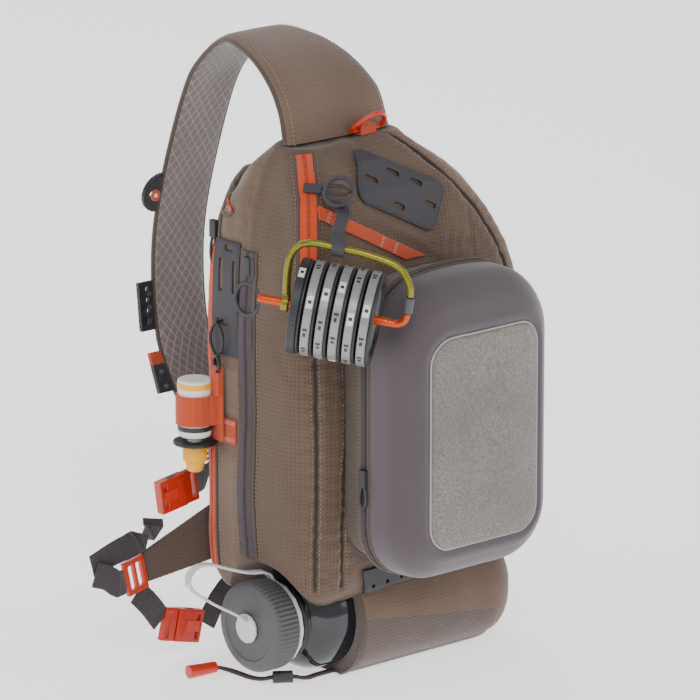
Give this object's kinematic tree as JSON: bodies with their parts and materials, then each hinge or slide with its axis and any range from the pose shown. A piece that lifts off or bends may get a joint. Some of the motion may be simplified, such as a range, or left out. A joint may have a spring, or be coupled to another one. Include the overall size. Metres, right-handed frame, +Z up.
{
  "type": "fishing tackle sling bag",
  "caption": "One-shoulder fishing bag with a domed tackle case on its front, a padded strap, a water bottle in a sleeve below, and a spool holder and small bottle clipped to it.",
  "frame": {"origin": "on the ground, on the flat underside of the bottle sleeve", "axes": "+Z up, -Y towards the front with the tackle case, +Y towards the wearer's back, +X to the right when seen from the front"},
  "size_m": [0.3418, 0.3519, 0.4971],
  "materials": {
    "brown_ripstop": "ripstop nylon",
    "tan_panel": "dotted nylon",
    "mauve_mesh": "padded air mesh",
    "orange_zipper": "coated zipper tape",
    "mauve_zipper": "coated zipper tape",
    "moulded_shell": "moulded foam under smooth fabric",
    "felt": "speckled felt",
    "dark_pull": "moulded",
    "grey_rubber": "matt",
    "orange_webbing": "woven",
    "dark_webbing": "woven",
    "red_plastic": "moulded",
    "olive_metal": "anodised satin",
    "grey_plastic": "moulded",
    "orange_metal": "anodised",
    "spool_plastic": "silver band over black",
    "black_plastic": "moulded",
    "vial_plastic": "translucent",
    "yellow_plastic": "moulded",
    "smoke_bottle": "smoky clear",
    "clear_strap": "translucent",
    "brown_cord": "braided"
  },
  "bodies": {
    "bag": {"main_compartment": "brown_ripstop", "front_compartment": "tan_panel", "main_zipper": "orange_zipper", "mid_zipper": "mauve_zipper", "top_zipper": "orange_zipper", "back_panel": "mauve_mesh", "shoulder_strap": "mauve_mesh", "case_base": "brown_ripstop", "case_zipper": "mauve_zipper", "case_lid": "moulded_shell", "felt_patch": "felt", "main_zip_pull": "dark_pull", "mid_zip_pull": "dark_pull", "top_zip_pull": "dark_pull", "case_zip_pull": "dark_pull", "side_patch": "grey_rubber", "top_patch": "grey_rubber", "accent_webbing": "orange_webbing", "side_webbing_loop": "orange_webbing", "d_ring": "red_plastic", "d_ring_webbing": "grey_rubber", "holder_frame": "olive_metal", "holder_collar": "grey_plastic", "holder_bar": "orange_metal", "holder_tab": "grey_rubber", "strap_round_tab": "grey_rubber", "strap_plate_tab": "black_plastic", "strap_end_tab": "grey_rubber", "upper_buckle_plug": "red_plastic", "upper_buckle_socket": "red_plastic", "lower_buckle_plug": "red_plastic", "lower_buckle_socket": "red_plastic", "ladder_lock": "red_plastic", "wing": "brown_ripstop", "strap_end_webbing": "dark_webbing", "upper_webbing": "dark_webbing", "webbing_tail": "dark_webbing", "lower_webbing": "dark_webbing", "waist_webbing": "dark_webbing", "bottle_body": "smoke_bottle", "bottle_cap": "grey_plastic", "bottle_loop": "clear_strap", "bottle_sleeve": "brown_ripstop", "cord_lock": "red_plastic", "cord_toggle": "red_plastic", "drawcord_1": "brown_cord", "drawcord_2": "brown_cord", "gear_clip": "black_plastic", "floatant_bottle": "vial_plastic", "floatant_flange": "black_plastic", "floatant_cap": "yellow_plastic", "holster": "orange_webbing", "lower_strip_left": "grey_rubber", "lower_strip_right": "grey_rubber"},
    "spool_1": {"spool_1": "spool_plastic"},
    "spool_2": {"spool_2": "spool_plastic"},
    "spool_3": {"spool_3": "spool_plastic"},
    "spool_4": {"spool_4": "spool_plastic"},
    "spool_5": {"spool_5": "spool_plastic"},
    "spool_6": {"spool_6": "spool_plastic"}
  },
  "joints": [
    {"name": "spool_1_spin", "type": "hinge", "parent": "bag", "child": "spool_1", "pos_m": [-0.14119, -0.08671, 0.32599], "axis": [0.6349, -0.7566, -0.1564], "continuous": true},
    {"name": "spool_2_spin", "type": "hinge", "parent": "bag", "child": "spool_2", "pos_m": [-0.13427, -0.09495, 0.32428], "axis": [0.6349, -0.7566, -0.1564], "continuous": true},
    {"name": "spool_3_spin", "type": "hinge", "parent": "bag", "child": "spool_3", "pos_m": [-0.12735, -0.1032, 0.32258], "axis": [0.6349, -0.7566, -0.1564], "continuous": true},
    {"name": "spool_4_spin", "type": "hinge", "parent": "bag", "child": "spool_4", "pos_m": [-0.12043, -0.11145, 0.32087], "axis": [0.6349, -0.7566, -0.1564], "continuous": true},
    {"name": "spool_5_spin", "type": "hinge", "parent": "bag", "child": "spool_5", "pos_m": [-0.11351, -0.11969, 0.31917], "axis": [0.6349, -0.7566, -0.1564], "continuous": true},
    {"name": "spool_6_spin", "type": "hinge", "parent": "bag", "child": "spool_6", "pos_m": [-0.10659, -0.12794, 0.31746], "axis": [0.6349, -0.7566, -0.1564], "continuous": true}
  ]
}
